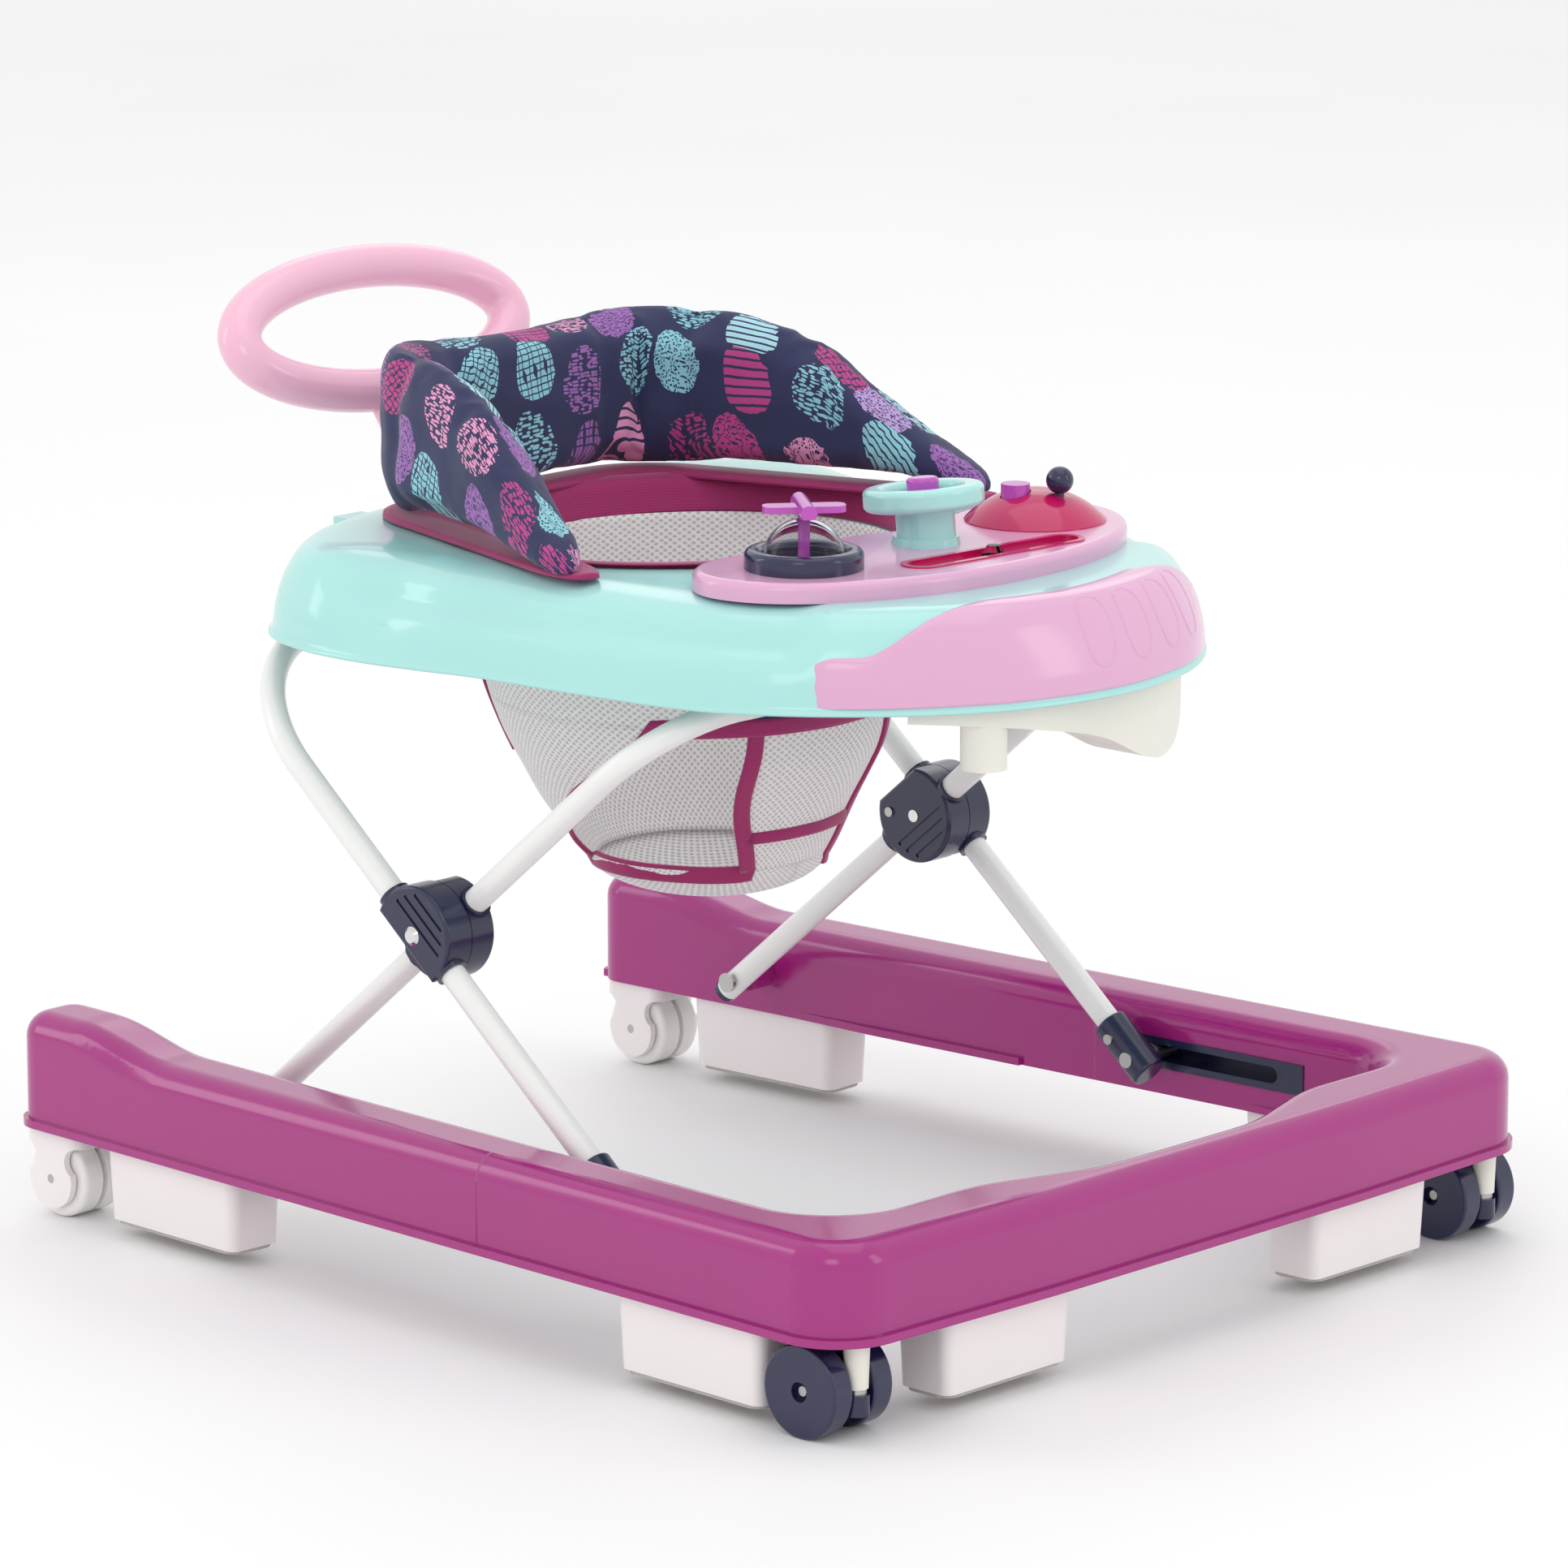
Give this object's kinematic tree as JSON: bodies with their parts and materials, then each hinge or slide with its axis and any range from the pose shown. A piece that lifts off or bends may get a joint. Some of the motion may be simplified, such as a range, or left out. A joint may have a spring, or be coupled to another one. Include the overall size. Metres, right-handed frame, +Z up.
{
  "type": "folding baby walker",
  "caption": "Baby walker with a U-shaped wheeled base, folding scissor frame of bent tubes, tray with toys, padded sling seat and a push handle.",
  "frame": {"origin": "on the floor at the middle of the base", "axes": "+X forward towards the toy end, +Y to the seated child's left, +Z up"},
  "size_m": [0.746, 0.6468, 0.5856],
  "materials": {
    "base_gloss": "gloss",
    "mint_gloss": "gloss",
    "pink_gloss": "gloss",
    "handle_pink": "gloss",
    "navy_gloss": "gloss",
    "navy_matt": "satin",
    "crimson_gloss": "gloss",
    "purple_gloss": "gloss",
    "wheel_white": "gloss",
    "pad_white": "satin",
    "cream": "satin",
    "sole_rubber": "matt",
    "tube_white": "gloss",
    "steel": "bright",
    "rivet_chrome": "polished",
    "pad_fabric": "printed woven cover",
    "mesh_fabric": "open mesh",
    "clear_plastic": "clear gloss"
  },
  "bodies": {
    "base": {"base_shell": "base_gloss", "slider_tracks": "navy_matt", "pivot_brackets": "base_gloss", "pivot_pins": "steel", "side_rear_pad_left": "pad_white", "side_rear_pad_right": "pad_white", "side_front_pad_left": "pad_white", "side_front_pad_right": "pad_white", "bar_pad_left": "pad_white", "bar_pad_right": "pad_white", "pad_soles": "sole_rubber", "pad_screws": "steel", "rear_housing_left": "pad_white", "rear_housing_right": "pad_white", "rear_axles": "steel", "caster_stems": "cream"},
    "rear_wheel_l": {"rear_wheel_left": "wheel_white"},
    "rear_wheel_r": {"rear_wheel_right": "wheel_white"},
    "caster_l": {"caster_fork_left": "navy_matt", "kingpin_left": "steel"},
    "caster_r": {"caster_fork_right": "navy_matt", "kingpin_right": "steel"},
    "caster_roller_l": {"caster_wheels_left": "navy_gloss", "caster_axle_left": "steel"},
    "caster_roller_r": {"caster_wheels_right": "navy_gloss", "caster_axle_right": "steel"},
    "front_frame": {"front_frame_tube": "tube_white", "foot_plugs": "navy_matt", "inner_joint_left": "navy_matt", "inner_joint_right": "navy_matt", "joint_screws": "steel"},
    "rear_frame": {"rear_frame_tube": "tube_white", "outer_joint_left": "navy_matt", "outer_joint_right": "navy_matt", "joint_rivets": "rivet_chrome", "end_caps": "navy_matt", "slider_pins": "steel", "cap_screws": "steel"},
    "tray": {"tray_shell": "mint_gloss", "front_bumper": "pink_gloss", "crossbar_clips": "mint_gloss", "height_racks": "mint_gloss", "battery_box": "cream", "handle_front": "handle_pink", "handle_rear": "handle_pink", "seat_pad": "pad_fabric", "seat_sling": "mesh_fabric", "toy_panel": "pink_gloss", "slot_insert": "crimson_gloss", "gem_lens": "clear_plastic", "dome_ring": "navy_gloss", "clear_dome": "clear_plastic", "spinner_post": "purple_gloss", "steering_column": "mint_gloss", "light_dome": "crimson_gloss", "dome_knob": "navy_gloss"},
    "spinner": {"spinner_plane": "purple_gloss"},
    "steering": {"steering_wheel": "mint_gloss"},
    "horn": {"horn_button": "purple_gloss"},
    "dome_push": {"dome_button": "purple_gloss"}
  },
  "joints": [
    {"name": "fold_hinge", "type": "hinge", "parent": "base", "child": "front_frame", "pos_m": [-0.2185, 0, 0.085], "axis": [0, 1, 0], "range_deg": [0, 28]},
    {"name": "cross_pivot", "type": "hinge", "parent": "front_frame", "child": "rear_frame", "pos_m": [-0.05403, 0, 0.22301], "axis": [0, 1, 0], "range_deg": [-56, 0]},
    {"name": "tray_hinge", "type": "hinge", "parent": "rear_frame", "child": "tray", "pos_m": [-0.2352, 0, 0.37503], "axis": [0, 1, 0], "range_deg": [0, 28]},
    {"name": "rear_wheel_l_spin", "type": "hinge", "parent": "base", "child": "rear_wheel_l", "pos_m": [-0.341, 0.2638, 0.026], "axis": [0, 1, 0], "continuous": true},
    {"name": "rear_wheel_r_spin", "type": "hinge", "parent": "base", "child": "rear_wheel_r", "pos_m": [-0.341, -0.2638, 0.026], "axis": [0, 1, 0], "continuous": true},
    {"name": "caster_l_swivel", "type": "hinge", "parent": "base", "child": "caster_l", "pos_m": [0.35, 0.291, 0.03], "axis": [0, 0, 1], "continuous": true},
    {"name": "caster_r_swivel", "type": "hinge", "parent": "base", "child": "caster_r", "pos_m": [0.35, -0.291, 0.03], "axis": [0, 0, 1], "continuous": true},
    {"name": "caster_l_roll", "type": "hinge", "parent": "caster_l", "child": "caster_roller_l", "pos_m": [0.328, 0.291, 0.028], "axis": [0, 1, 0], "continuous": true},
    {"name": "caster_r_roll", "type": "hinge", "parent": "caster_r", "child": "caster_roller_r", "pos_m": [0.328, -0.291, 0.028], "axis": [0, 1, 0], "continuous": true},
    {"name": "spinner_turn", "type": "hinge", "parent": "tray", "child": "spinner", "pos_m": [0.14, -0.108, 0.49], "axis": [0, 0, 1], "continuous": true},
    {"name": "steering_turn", "type": "hinge", "parent": "tray", "child": "steering", "pos_m": [0.141, 0, 0.464], "axis": [-0.1045, 0, 0.9945], "continuous": true},
    {"name": "horn_press", "type": "slide", "parent": "steering", "child": "horn", "axis": [0.1045, 0, -0.9945], "range_m": [0, 0.0025], "stiffness_N_per_m": 300, "springref_m": -0.002},
    {"name": "dome_button_press", "type": "slide", "parent": "tray", "child": "dome_push", "axis": [0, 0, -1], "range_m": [0, 0.0025], "stiffness_N_per_m": 300, "springref_m": -0.002}
  ],
  "couplings": [
    {"joint": "cross_pivot", "follows": "fold_hinge", "ratio": -2},
    {"joint": "tray_hinge", "follows": "fold_hinge", "ratio": 1}
  ]
}
